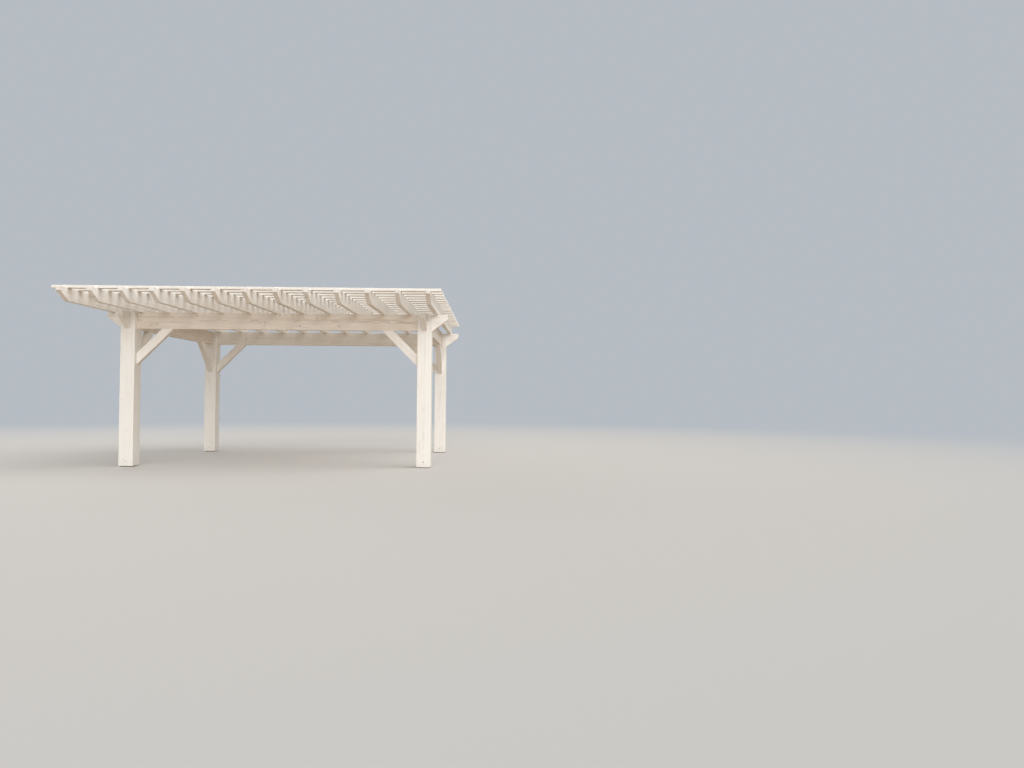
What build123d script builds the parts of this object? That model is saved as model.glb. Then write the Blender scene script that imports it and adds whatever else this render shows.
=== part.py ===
from build123d import *
import os

os.makedirs("parts", exist_ok=True)

# A free-standing timber pergola in whitewashed softwood, in millimetres.
# X runs along the long side, Y runs from the front to the back and Z is up.
# The origin lies on the ground, under the middle of the whole frame and roof.

# Frame
POST = 241.0              # side of the square posts
POST_SPACING_X = 5050.0   # between post centres, left to right
POST_SPACING_Y = 3600.0   # between post centres, front to back
HEADROOM = 2360.0         # from the ground to the underside of the beams
BEAM_THICKNESS = 89.0
BEAM_HEIGHT = 286.0
TAIL_LENGTH = 270.0       # how far a beam tail stands out from its post
TAIL_NOSE = 90.0          # upright end face of a beam tail
TAIL_HEEL = 8.0           # flat left under a beam tail, beside the post

# Joints between the timbers
HOUSING_DEPTH = 20.0      # how far a whole beam end is let into its post
TENON_THICKNESS = 38.0
TENON_LENGTH = 60.0       # beyond the housing
TENON_SHOULDER = 45.0     # above and below a beam's tenon
BRACE_TENON_LENGTH = 50.0
JOINT_FIT = 0.5           # play around every tenon and housing
RAFTER_SEAT = 8.0         # depth of the notch that sits over a beam

# Knee braces
BRACE_THICKNESS = 89.0
BRACE_DEPTH = 140.0
BRACE_REACH = 618.0       # from the corner to the brace's far edge, both ways

# Roof
RAFTER_COUNT = 13
FIRST_RAFTER_INSET = 211.0   # from the slats' left ends to the first rafter's centre
LAST_RAFTER_INSET = 190.0    # the same at the right
RAFTER_THICKNESS = 70.0
RAFTER_HEIGHT = 203.0
RAFTER_NOSE = 63.0        # upright end face of a rafter
RAFTER_TAPER = 240.0      # length of the slanted cut under each end
FRONT_OVERHANG = 1655.0   # from the front posts' centres to the rafter ends
BACK_OVERHANG = 376.0     # the same at the back
SLAT_COUNT = 20
SLAT_WIDTH = 95.0
SLAT_THICKNESS = 45.0
SLAT_SETBACK = 190.0      # from the rafters' front ends to the first slat
SLAT_LEFT_OVERHANG = 486.0    # from the left posts' centres to the slat ends
SLAT_RIGHT_OVERHANG = 385.0   # the same at the right
SLATS_PER_BUNDLE = 5

# Steel foot under each post
FOOT_THICKNESS = 12.0
FOOT_RECESS = 25.0        # how far the plate stays behind the post's faces
KNIFE_THICKNESS = 10.0
KNIFE_WIDTH = 140.0
KNIFE_HEIGHT = 150.0
PIN_DIAMETER = 16.0
PIN_HEIGHT = 100.0        # above the ground
PIN_RECESS = 12.0         # each end of the pin stays this far inside the post

# Eased edges
POST_EASE = 5.0
TIMBER_EASE = 3.0
SLAT_EASE = 2.0

POST_TOP = HEADROOM + BEAM_HEIGHT
POST_X = POST_SPACING_X / 2
POST_Y = POST_SPACING_Y / 2
RAFTER_BOTTOM = POST_TOP - RAFTER_SEAT
RAFTER_TOP = RAFTER_BOTTOM + RAFTER_HEIGHT
TAIL_TIP = POST / 2 + TAIL_LENGTH
LEFT_REACH = max(SLAT_LEFT_OVERHANG, TAIL_TIP)
RIGHT_REACH = max(SLAT_RIGHT_OVERHANG, TAIL_TIP)
FRONT_REACH = max(FRONT_OVERHANG, TAIL_TIP)
BACK_REACH = max(BACK_OVERHANG, TAIL_TIP)
FRAME_X = (LEFT_REACH - RIGHT_REACH) / 2
FRAME_Y = (FRONT_REACH - BACK_REACH) / 2
ROOF_FRONT = FRAME_Y - POST_Y - FRONT_OVERHANG
ROOF_BACK = FRAME_Y + POST_Y + BACK_OVERHANG
SLATS_FRONT = ROOF_FRONT + SLAT_SETBACK
SLAT_PITCH = (ROOF_BACK - SLATS_FRONT - SLAT_WIDTH) / (SLAT_COUNT - 1)
SLAT_LEFT_END = FRAME_X - POST_X - SLAT_LEFT_OVERHANG
SLAT_RIGHT_END = FRAME_X + POST_X + SLAT_RIGHT_OVERHANG
FIRST_RAFTER_X = SLAT_LEFT_END + FIRST_RAFTER_INSET
LAST_RAFTER_X = SLAT_RIGHT_END - LAST_RAFTER_INSET
RAFTER_PITCH = (LAST_RAFTER_X - FIRST_RAFTER_X) / (RAFTER_COUNT - 1)
BRACE_NEAR = BRACE_REACH - BRACE_DEPTH * 2 ** 0.5

SIDES = {"left": -1, "right": 1}
ENDS = {"front": -1, "back": 1}


def upright_plane(x, y, z, toward):
    """Upright plane whose own x runs toward a compass side and own y runs up."""
    return Plane(origin=(x, y, z), x_dir=toward, z_dir=Vector(*toward).cross(Vector(0, 0, 1)))


def tail_outline():
    """Side view of a beam tail: its own x starts at the post's centre."""
    inner = POST / 2 - HOUSING_DEPTH
    face = POST / 2
    Polyline(
        (inner, 0),
        (face + TAIL_HEEL, 0),
        (TAIL_TIP, BEAM_HEIGHT - TAIL_NOSE),
        (TAIL_TIP, BEAM_HEIGHT),
        (inner, BEAM_HEIGHT),
        close=True,
    )


def brace_outline():
    """Side view of a knee brace: its own origin is where post and beam meet."""
    Polyline(
        (0, -BRACE_NEAR),
        (0, -BRACE_REACH),
        (BRACE_REACH, 0),
        (BRACE_NEAR, 0),
        close=True,
    )


def brace_foot_tenon_outline(depth):
    """Tenon at the foot of a brace: square below, sloping with the brace above."""
    Polyline(
        (0, -BRACE_NEAR),
        (-depth, -BRACE_NEAR - depth),
        (-depth, -BRACE_REACH),
        (0, -BRACE_REACH),
        close=True,
    )


def brace_head_tenon_outline(depth):
    """Tenon at the head of a brace, the foot's tenon turned into the beam."""
    Polyline(
        (BRACE_NEAR, 0),
        (BRACE_NEAR + depth, depth),
        (BRACE_REACH, depth),
        (BRACE_REACH, 0),
        close=True,
    )


def make_post(label, side, end):
    """Square post with a housed mortise for a beam or a tail in each face, a
    mortise for each of its two braces and a saw kerf right through for the foot."""
    x = FRAME_X + side * POST_X
    y = FRAME_Y + end * POST_Y
    inward = [(-side, 0, 0), (0, -end, 0)]
    outward = [(side, 0, 0), (0, end, 0)]
    tenon_height = BEAM_HEIGHT - 2 * TENON_SHOULDER
    with BuildPart() as post:
        with BuildSketch(Plane(origin=(x, y, FOOT_THICKNESS))):
            Rectangle(POST, POST)
        extrude(amount=POST_TOP - FOOT_THICKNESS)
        corners = post.edges().filter_by(Axis.Z)
        chamfer(corners, POST_EASE)
        for toward in inward + outward:
            with BuildSketch(upright_plane(x, y, HEADROOM, toward)):
                with Locations((POST / 2, 0)):
                    Rectangle(HOUSING_DEPTH, BEAM_HEIGHT, align=(Align.MAX, Align.MIN))
            extrude(amount=BEAM_THICKNESS / 2 + JOINT_FIT, both=True, mode=Mode.SUBTRACT)
            with BuildSketch(upright_plane(x, y, HEADROOM, toward)):
                with Locations((POST / 2 - HOUSING_DEPTH, TENON_SHOULDER)):
                    Rectangle(
                        TENON_LENGTH + JOINT_FIT,
                        tenon_height + JOINT_FIT,
                        align=(Align.MAX, Align.MIN),
                    )
            extrude(amount=TENON_THICKNESS / 2 + JOINT_FIT, both=True, mode=Mode.SUBTRACT)
        for toward in inward:
            corner_x = x + toward[0] * POST / 2
            corner_y = y + toward[1] * POST / 2
            with BuildSketch(upright_plane(corner_x, corner_y, HEADROOM, toward)):
                with BuildLine():
                    brace_foot_tenon_outline(BRACE_TENON_LENGTH + JOINT_FIT)
                make_face()
            extrude(amount=TENON_THICKNESS / 2 + JOINT_FIT, both=True, mode=Mode.SUBTRACT)
        with BuildSketch(Plane(origin=(x, y, FOOT_THICKNESS))):
            Rectangle(POST, KNIFE_THICKNESS + 2 * JOINT_FIT)
        extrude(amount=KNIFE_HEIGHT + JOINT_FIT, mode=Mode.SUBTRACT)
        with BuildSketch(upright_plane(x, y, PIN_HEIGHT, (1, 0, 0))):
            Circle(PIN_DIAMETER / 2 + JOINT_FIT)
        extrude(amount=POST / 2, both=True, mode=Mode.SUBTRACT)
    post.part.label = label
    export_step(post.part, f"parts/{label}.step")


def make_post_foot(label, side, end):
    """Steel foot: a plate behind the post's faces, a knife plate standing in the
    post's saw kerf and a loose pin through both."""
    x = FRAME_X + side * POST_X
    y = FRAME_Y + end * POST_Y
    plate = POST - 2 * FOOT_RECESS
    pin_length = POST - 2 * PIN_RECESS
    with BuildPart() as foot:
        with BuildSketch(Plane(origin=(x, y, 0))):
            Rectangle(plate, plate)
        extrude(amount=FOOT_THICKNESS)
        with BuildSketch(Plane(origin=(x, y, FOOT_THICKNESS))):
            Rectangle(KNIFE_WIDTH, KNIFE_THICKNESS)
        extrude(amount=KNIFE_HEIGHT)
        with BuildSketch(upright_plane(x, y, PIN_HEIGHT, (1, 0, 0))):
            Circle(PIN_DIAMETER / 2 + JOINT_FIT)
        extrude(amount=KNIFE_THICKNESS, both=True, mode=Mode.SUBTRACT)
        with BuildSketch(upright_plane(x, y, PIN_HEIGHT, (1, 0, 0))):
            Circle(PIN_DIAMETER / 2)
        extrude(amount=pin_length / 2, both=True)
    foot.part.label = label
    export_step(foot.part, f"parts/{label}.step")


def make_beam(label, x, y, toward, post_spacing):
    """Beam between two posts, housed and tenoned at both ends, with a mortise
    near each end for the head of a brace."""
    clear_span = post_spacing - POST
    housed_length = clear_span + 2 * HOUSING_DEPTH
    tenoned_length = housed_length + 2 * TENON_LENGTH
    back = (-toward[0], -toward[1], 0)
    with BuildPart() as beam:
        with BuildSketch(upright_plane(x, y, HEADROOM, toward)):
            Rectangle(housed_length, BEAM_HEIGHT, align=(Align.CENTER, Align.MIN))
        extrude(amount=BEAM_THICKNESS / 2, both=True)
        along = Axis.X if toward[0] else Axis.Y
        chamfer(beam.edges().filter_by(along), TIMBER_EASE)
        with BuildSketch(upright_plane(x, y, HEADROOM + TENON_SHOULDER, toward)):
            Rectangle(
                tenoned_length,
                BEAM_HEIGHT - 2 * TENON_SHOULDER,
                align=(Align.CENTER, Align.MIN),
            )
        extrude(amount=TENON_THICKNESS / 2, both=True)
        for inward in (toward, back):
            corner_x = x - inward[0] * clear_span / 2
            corner_y = y - inward[1] * clear_span / 2
            with BuildSketch(upright_plane(corner_x, corner_y, HEADROOM, inward)):
                with BuildLine():
                    brace_head_tenon_outline(BRACE_TENON_LENGTH + JOINT_FIT)
                make_face()
            extrude(amount=TENON_THICKNESS / 2 + JOINT_FIT, both=True, mode=Mode.SUBTRACT)
    beam.part.label = label
    export_step(beam.part, f"parts/{label}.step")


def make_tail(label, x, y, toward):
    """Short tapered timber that carries a beam's line out past its post."""
    with BuildPart() as tail:
        with BuildSketch(upright_plane(x, y, HEADROOM, toward)):
            with BuildLine():
                tail_outline()
            make_face()
        extrude(amount=BEAM_THICKNESS / 2, both=True)
        along = Axis.X if toward[0] else Axis.Y
        long_edges = tail.edges().filter_by(along).group_by(Axis.Z)[-1]
        chamfer(long_edges, TIMBER_EASE)
        with BuildSketch(upright_plane(x, y, HEADROOM + TENON_SHOULDER, toward)):
            with Locations((POST / 2 - HOUSING_DEPTH, 0)):
                Rectangle(
                    TENON_LENGTH,
                    BEAM_HEIGHT - 2 * TENON_SHOULDER,
                    align=(Align.MAX, Align.MIN),
                )
        extrude(amount=TENON_THICKNESS / 2, both=True)
    tail.part.label = label
    export_step(tail.part, f"parts/{label}.step")


def make_brace(label, x, y, toward):
    """Knee brace at 45 degrees from a post's inner face to a beam's underside,
    its ends cut to both faces and tenoned into them."""
    corner_x = x + toward[0] * POST / 2
    corner_y = y + toward[1] * POST / 2
    corner = upright_plane(corner_x, corner_y, HEADROOM, toward)
    with BuildPart() as brace:
        with BuildSketch(corner):
            with BuildLine():
                brace_outline()
            make_face()
        extrude(amount=BRACE_THICKNESS / 2, both=True)
        slant = Vector(toward[0], toward[1], 1).normalized()
        long_edges = brace.edges().filter_by(lambda edge: abs(edge.tangent_at(0).dot(slant)) > 0.999)
        chamfer(long_edges, TIMBER_EASE)
        with BuildSketch(corner):
            with BuildLine():
                brace_foot_tenon_outline(BRACE_TENON_LENGTH)
            make_face()
            with BuildLine():
                brace_head_tenon_outline(BRACE_TENON_LENGTH)
            make_face()
        extrude(amount=TENON_THICKNESS / 2, both=True)
    brace.part.label = label
    export_step(brace.part, f"parts/{label}.step")


def make_rafter(label, x):
    """Rafter with a slanted cut under each end and a notch over each beam."""
    taper_rise = RAFTER_HEIGHT - RAFTER_NOSE
    with BuildPart() as rafter:
        with BuildSketch(upright_plane(x, 0, RAFTER_BOTTOM, (0, 1, 0))):
            with BuildLine():
                Polyline(
                    (ROOF_FRONT, RAFTER_HEIGHT),
                    (ROOF_FRONT, taper_rise),
                    (ROOF_FRONT + RAFTER_TAPER, 0),
                    (ROOF_BACK - RAFTER_TAPER, 0),
                    (ROOF_BACK, taper_rise),
                    (ROOF_BACK, RAFTER_HEIGHT),
                    close=True,
                )
            make_face()
        extrude(amount=RAFTER_THICKNESS / 2, both=True)
        bottom_edges = rafter.edges().filter_by(Axis.Y).group_by(Axis.Z)[0]
        chamfer(bottom_edges, TIMBER_EASE)
        with BuildSketch(upright_plane(x, 0, RAFTER_BOTTOM, (0, 1, 0))):
            with Locations((FRAME_Y - POST_Y, 0), (FRAME_Y + POST_Y, 0)):
                Rectangle(
                    BEAM_THICKNESS + 2 * JOINT_FIT,
                    RAFTER_SEAT,
                    align=(Align.CENTER, Align.MIN),
                )
        extrude(amount=RAFTER_THICKNESS / 2, both=True, mode=Mode.SUBTRACT)
    rafter.part.label = label
    export_step(rafter.part, f"parts/{label}.step")


def make_slats(label, first, count):
    """A run of slats laid flat across the rafters, one behind another."""
    middle_y = SLATS_FRONT + SLAT_WIDTH / 2 + (first + (count - 1) / 2) * SLAT_PITCH
    with BuildPart() as slats:
        with BuildSketch(Plane.YZ.offset(SLAT_LEFT_END)):
            with Locations((middle_y, RAFTER_TOP + SLAT_THICKNESS / 2)):
                with GridLocations(SLAT_PITCH, SLAT_THICKNESS, count, 1):
                    Rectangle(SLAT_WIDTH, SLAT_THICKNESS)
        extrude(amount=SLAT_RIGHT_END - SLAT_LEFT_END)
        chamfer(slats.edges().filter_by(Axis.X), SLAT_EASE)
    slats.part.label = label
    export_step(slats.part, f"parts/{label}.step")


for end_name, end in ENDS.items():
    post_y = FRAME_Y + end * POST_Y
    make_beam(f"{end_name}_beam", FRAME_X, post_y, (1, 0, 0), POST_SPACING_X)
    for side_name, side in SIDES.items():
        post_x = FRAME_X + side * POST_X
        make_post(f"{end_name}_{side_name}_post", side, end)
        make_post_foot(f"{end_name}_{side_name}_post_foot", side, end)
        make_tail(f"{end_name}_beam_{side_name}_tail", post_x, post_y, (side, 0, 0))
        make_tail(f"{side_name}_beam_{end_name}_tail", post_x, post_y, (0, end, 0))
        make_brace(f"{end_name}_beam_{side_name}_brace", post_x, post_y, (-side, 0, 0))
        make_brace(f"{side_name}_beam_{end_name}_brace", post_x, post_y, (0, -end, 0))

for side_name, side in SIDES.items():
    make_beam(f"{side_name}_beam", FRAME_X + side * POST_X, FRAME_Y, (0, 1, 0), POST_SPACING_Y)

for number in range(RAFTER_COUNT):
    make_rafter(f"rafter_{number + 1:02d}", FIRST_RAFTER_X + number * RAFTER_PITCH)

for first in range(0, SLAT_COUNT, SLATS_PER_BUNDLE):
    count = min(SLATS_PER_BUNDLE, SLAT_COUNT - first)
    make_slats(f"slats_{first + 1:02d}_to_{first + count:02d}", first, count)
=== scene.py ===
import bpy
import bmesh
import math
import numpy as np
from mathutils import Matrix, Vector


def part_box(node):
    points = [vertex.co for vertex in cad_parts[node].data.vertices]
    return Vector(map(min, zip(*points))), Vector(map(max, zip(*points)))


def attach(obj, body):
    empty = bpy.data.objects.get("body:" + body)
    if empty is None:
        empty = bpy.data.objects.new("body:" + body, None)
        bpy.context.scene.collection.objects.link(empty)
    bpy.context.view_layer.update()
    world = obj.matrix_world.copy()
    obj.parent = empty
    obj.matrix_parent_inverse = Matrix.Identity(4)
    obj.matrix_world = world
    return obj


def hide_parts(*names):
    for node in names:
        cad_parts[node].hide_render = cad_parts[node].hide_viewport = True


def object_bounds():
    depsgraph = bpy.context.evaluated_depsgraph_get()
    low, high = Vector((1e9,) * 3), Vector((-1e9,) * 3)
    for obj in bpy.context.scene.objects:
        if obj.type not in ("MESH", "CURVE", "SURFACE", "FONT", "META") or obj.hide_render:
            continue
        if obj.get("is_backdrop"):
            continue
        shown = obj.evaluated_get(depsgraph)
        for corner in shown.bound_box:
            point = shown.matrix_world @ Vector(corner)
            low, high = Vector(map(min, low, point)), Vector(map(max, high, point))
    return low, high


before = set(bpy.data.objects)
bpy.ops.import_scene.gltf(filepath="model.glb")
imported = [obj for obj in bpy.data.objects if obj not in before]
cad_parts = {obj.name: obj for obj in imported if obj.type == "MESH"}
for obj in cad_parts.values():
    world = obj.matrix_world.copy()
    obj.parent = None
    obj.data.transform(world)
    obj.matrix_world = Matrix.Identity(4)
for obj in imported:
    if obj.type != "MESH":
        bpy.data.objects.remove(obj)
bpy.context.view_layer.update()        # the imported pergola, in metres: X right, Y back, Z up


# POST FEET
# Each post stands on a welded steel foot: a plate a little smaller than the post, a knife plate
# that rises into a saw kerf, and a loose pin through both. The steel is painted dark grey.

FOOT_PAINT = (0.052, 0.053, 0.055)
FOOT_RUST = (0.105, 0.058, 0.034)
FOOT_ROUGHNESS = 0.48


def step(tree, kind, values=(), out=0, **settings):
    """Adds one node, sets its plain settings and fills its inputs in order.
    A value is a number, a colour, another node's output, or None for an input left alone."""
    node = tree.nodes.new(kind)
    for key, value in settings.items():
        setattr(node, key, value)
    for socket, value in zip(node.inputs, values):
        if isinstance(value, bpy.types.NodeSocket):
            tree.links.new(value, socket)
        elif value is not None:
            socket.default_value = value
    return node.outputs[out] if node.outputs else node


def maths(tree, operation, *values):
    """One sum on numbers; MULTIPLY_ADD gives first times second plus third."""
    return step(tree, "ShaderNodeMath", values, operation=operation)


def fade(tree, value, start, end, low=0.0, high=1.0):
    """Soft ramp: low where value is at start, high where it's at end, smooth between."""
    return step(tree, "ShaderNodeMapRange", (value, start, end, low, high),
                interpolation_type="SMOOTHSTEP")


def speckle(tree, place, stretch, detail=2.0, rough=0.5, out=0):
    """Cloudy noise over a place that is first stretched by three factors, one for each axis."""
    stretched = step(tree, "ShaderNodeVectorMath", (place, stretch), operation="MULTIPLY")
    return step(tree, "ShaderNodeTexNoise", (stretched, None, 1.0, detail, rough), out=out)


def blend(tree, share, first, second):
    """First where the share is 0, second where it is 1."""
    return step(tree, "ShaderNodeMixRGB", (share, first, second))


def new_finish(name):
    """An empty material, with its node tree and its shader."""
    material = bpy.data.materials.new(name)
    material.use_nodes = True
    return material, material.node_tree, material.node_tree.nodes["Principled BSDF"]


def painted_foot_steel():
    """Dark grey paint with rust freckles where the paint is thin."""
    material, tree, shader = new_finish("painted foot steel")
    place = step(tree, "ShaderNodeTexCoord", out=3)
    freckle = speckle(tree, place, (90, 90, 90), detail=4, rough=0.7)
    rusty = fade(tree, freckle, 0.62, 0.72)
    colour = blend(tree, rusty, (*FOOT_PAINT, 1), (*FOOT_RUST, 1))
    tree.links.new(colour, shader.inputs["Base Color"])
    rough = maths(tree, "MULTIPLY_ADD", rusty, 0.35, FOOT_ROUGHNESS)
    tree.links.new(rough, shader.inputs["Roughness"])
    lumps = step(tree, "ShaderNodeBump", (0.4, 0.0004, None, freckle))
    tree.links.new(lumps, shader.inputs["Normal"])
    return material


foot_steel = painted_foot_steel()
for name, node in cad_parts.items():
    if name.endswith("post_foot"):
        node.data.materials.clear()
        node.data.materials.append(foot_steel)


# POSTS
# Four square posts of sawn softwood with the heart of the log inside, brushed with thin white
# stain. Seasoning has opened a long check in each face. Beams and tails are let in at the top.

POST_EASE = 0.005          # rounding of the long edges
POST_END_EASE = 0.004
POST_ROW = 0.017           # distance between the grid's rows up the post
HOUSING_HALF = 0.045       # half width of the housing for a beam or tail
HOUSING_DEPTH = 0.020
KERF_HALF = 0.0055         # half width of the saw kerf for the knife plate
KERF_TOP = 0.1625
KERF_DEPTH = 0.0505        # from a side face in to the edge of the knife plate
PIN_HEIGHT = 0.100
PIN_HOLE_RADIUS = 0.0085
POST_CHECK_WIDTH = (0.0016, 0.0032)
POST_CHECK_DEPTH = 0.016
POST_CHECK_START = (0.22, 0.9)      # height above the floor
POST_CHECK_END = (1.3, 0.12)        # height above the floor, and least room below the beams
POST_SAW = 0.0008                   # how far the saw strayed
POST_RING = 0.0052         # width of a growth ring
CRISP_EASE = 0.0015        # tenons are eased less than this, so they keep clean, straight faces
CREASE = math.radians(33)  # edges that turn more than this stay sharp
SAME_PLACE = 2e-6          # points nearer than this are one point

WASH = (0.900, 0.884, 0.845)
EARLY_WOOD = (0.640, 0.440, 0.255)
LATE_WOOD = (0.360, 0.195, 0.090)
KNOT_WOOD = (0.150, 0.082, 0.045)
SLAB_DUST = (0.480, 0.450, 0.400)


def section_columns(faces, arc_points=4):
    """Columns of a four-sided section, in order round it: bottom, right, top and left face, with
    a rounded corner after each. A face lists (share of the way along it, push along it, role).
    A column holds its core corner across and up, outward direction, push, face and role."""
    corners = np.array([[-1.0, 0.0], [1.0, 0.0], [1.0, 1.0], [-1.0, 1.0]])
    found = []
    for number, face in enumerate(faces):
        here, there = corners[number], corners[(number + 1) % 4]
        angle = math.pi / 2 * (number - 1)
        for share, push, role in face:
            place = here + share * (there - here)
            found.append([*place, math.cos(angle), math.sin(angle), push, number, role])
        for turn in np.linspace(angle, angle + math.pi / 2, arc_points):
            found.append([*there, math.cos(turn), math.sin(turn), 0.0, -1, 0])
    return np.array(found)


def run(x, low, high, half, ease, inset=0.0, lean=0.0, cut=0.0, phase=0):
    """Rows along a timber: place, lowest and highest edge, half width, rounding of the edges, how
    far the section shrinks, slope of the row, share of end grain, and a number for the stretch."""
    parts = (x, low, high, half, ease, inset, lean, cut, phase)
    return np.column_stack(np.broadcast_arrays(*[np.atleast_1d(part) for part in parts]))


def eased_end(x, outward, radius, *section, **more):
    """Three rows that round the edges of an end: a quarter circle between side and end face."""
    turn = np.radians([0.0, 45.0, 90.0])
    rows = run(x - outward * radius * (1 - np.sin(turn)), *section,
               inset=radius * (1 - np.cos(turn)), cut=np.sin(turn) ** 4, **more)
    return rows if outward > 0 else rows[::-1]


def wander(x, rng, waves):
    """A slow random line along a timber: sine waves of three lengths, each with a random phase,
    added up and divided by their weights, so it stays between -1 and 1."""
    weights = (1.0, 0.5, 0.2)
    phases = rng.uniform(0, 2 * math.pi, len(waves))
    total = sum(weight * np.sin(2 * math.pi * x / wave + phase)
                for weight, wave, phase in zip(weights, waves, phases))
    return total / sum(weights)


def worn_ease(columns, rows, rng, dents=3):
    """Rounding at each point: the row's own, times a slow wander along each corner, plus short
    bell-shaped dents where the corner was knocked."""
    x, ease = rows[:, 0], rows[:, 4]
    found = np.repeat(ease[:, None], len(columns), axis=1)
    corner = (np.cumsum(columns[:, 5] < 0) - 1) // max(1, int(np.sum(columns[:, 5] < 0)) // 4)
    for number in range(4):
        worn = 1 + 0.28 * wander(x, rng, (0.7, 0.27, 0.11))
        for _ in range(dents):
            middle = rng.uniform(x.min(), x.max())
            width = rng.uniform(0.012, 0.035)
            worn = worn + rng.uniform(0.2, 0.9) * np.exp(-((x - middle) / width) ** 2)
        worn = np.where(ease > CRISP_EASE, np.minimum(worn, 2.0), 1.0)
        here = (columns[:, 5] < 0) & (corner == number)
        found[:, here] *= worn[:, None]
    return found


def uneven(columns, rows, rng, depth):
    """How far the saw left each point below the true face: sine waves along the timber, turned a
    whole number of times round the section, all between 0 and depth."""
    around = np.arctan2(columns[:, 3], columns[:, 2])[None, :]
    x = rows[:, 0][:, None]
    total = 0.0
    for wave, turns in ((2.3, 1), (0.9, 2), (0.41, 3), (0.19, 1)):
        phase = rng.uniform(0, 2 * math.pi)
        total = total + np.sin(2 * math.pi * x / wave + turns * around + phase)
    return depth * (total / 4 + 1) / 2 * (rows[:, 4] > CRISP_EASE)[:, None]


def opened_check(columns, rows, rng, face, first, last, width, depth):
    """A seasoning check along one face. Its middle column sinks by a half sine wave raised to a
    low power between first and last, its side columns part by the width in the same measure,
    and all three wander together. Returns the depth sunk and the push along the face."""
    x = rows[:, 0]
    share = np.clip((x - first) / (last - first), 0, 1)
    opened = np.sin(math.pi * share) ** 0.6 * (0.75 + 0.25 * wander(x, rng, (0.33, 0.14, 0.06)))
    role = np.where(columns[:, 5] == face, columns[:, 6], 0)
    path = 0.006 * wander(x, rng, (1.3, 0.5, 0.2))[:, None] * np.isin(role, (1, 2, 3))
    sides = (role == 3).astype(float) - (role == 1)
    sunk = (depth * opened)[:, None] * (role == 2)
    return sunk, path + (width / 2 * opened)[:, None] * sides


def carry_section(columns, rows, ease, sunk=0.0, pushed=0.0):
    """The surface of a timber as a grid of rows and columns. A point lies on a core rectangle
    smaller by the easing, plus its outward direction times the easing less what is inset and
    sunk, plus its push along the face. The row's slope times the height moves it along."""
    x, low, high, half, _, inset, lean = rows[:, :7, None].transpose(1, 0, 2)
    cx, cz, nx, nz, push = columns[:, :5].T
    reach = ease - inset - sunk
    along_face = push * (rows[:, 4:5] > CRISP_EASE) + pushed
    across = cx * (half - ease) + nx * reach - nz * along_face
    up = low + ease + cz * (high - low - 2 * ease) + nz * reach + nx * along_face
    return np.stack(np.broadcast_arrays(x + lean * up, across, up), axis=-1)


def timber_attributes(columns, rows, grid, pith, tone):
    """For each point, its place in the log (along, and two distances from a pith line that leans
    a little), and its finish (tone of the timber, share of end grain, wear at the edges)."""
    start, offset, slope = pith
    grain = grid + np.array([start, 0, 0])
    grain[..., 1:] -= np.array(offset) + grid[..., :1] * np.array(slope)
    finish = np.zeros(grid.shape)
    finish[..., 0] = tone
    finish[..., 1] = rows[:, 7:8]
    finish[..., 2] = columns[:, 5] < 0
    return grain, finish


def random_pith(rng, across, up, slope):
    """A pith line beside or inside the timber: a start along the log, two offsets, two slopes."""
    start = rng.uniform(0, 60)
    offset = (rng.uniform(*across) * rng.choice((-1, 1)), rng.uniform(*up) * rng.choice((-1, 1)))
    return start, offset, tuple(rng.uniform(-slope, slope, 2))


def timber_piece(name, timbers, material, nodes):
    """Makes one piece of one or more timbers. Each timber is (grid, grain, finish, axes, origin);
    the grid's along, across and up become world directions by its three axes. Rows join into
    quads, the first and last row close with one face each, and coincident points merge."""
    vertices, faces, grains, finishes = [], [], [], []
    first = 0
    for grid, grain, finish, axes, origin in timbers:
        count, wide = grid.shape[:2]
        vertices.append((grid @ axes + origin).reshape(-1, 3))
        grains.append(grain.reshape(-1, 3))
        finishes.append(finish.reshape(-1, 3))
        row, column = np.mgrid[0:count - 1, 0:wide]
        here = first + row * wide + column
        beside = first + row * wide + (column + 1) % wide
        quads = np.stack([here, beside, beside + wide, here + wide], axis=-1).reshape(-1, 4)
        ring = first + np.arange(wide)
        ends = [ring[::-1], ring + (count - 1) * wide]
        if np.linalg.det(axes) < 0:
            quads = quads[:, ::-1]
            ends = [end[::-1] for end in ends]
        faces += quads.tolist() + [end.tolist() for end in ends]
        first += count * wide
    mesh = bpy.data.meshes.new(name)
    mesh.from_pydata(np.concatenate(vertices), [], faces)
    for label, values in (("grain", grains), ("finish", finishes)):
        layer = mesh.attributes.new(label, "FLOAT_VECTOR", "POINT")
        layer.data.foreach_set("vector", np.concatenate(values).astype(np.float32).ravel())
    loose = bmesh.new()
    loose.from_mesh(mesh)
    bmesh.ops.remove_doubles(loose, verts=loose.verts, dist=SAME_PLACE)
    bmesh.ops.dissolve_degenerate(loose, edges=loose.edges, dist=SAME_PLACE)
    loose.to_mesh(mesh)
    loose.free()
    mesh.polygons.foreach_set("use_smooth", np.ones(len(mesh.polygons), bool))
    mesh.set_sharp_from_angle(angle=CREASE)
    mesh.materials.append(material)
    piece = bpy.data.objects.new(name, mesh)
    bpy.context.scene.collection.objects.link(piece)
    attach(piece, "root")
    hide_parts(*nodes)
    return piece


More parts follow.
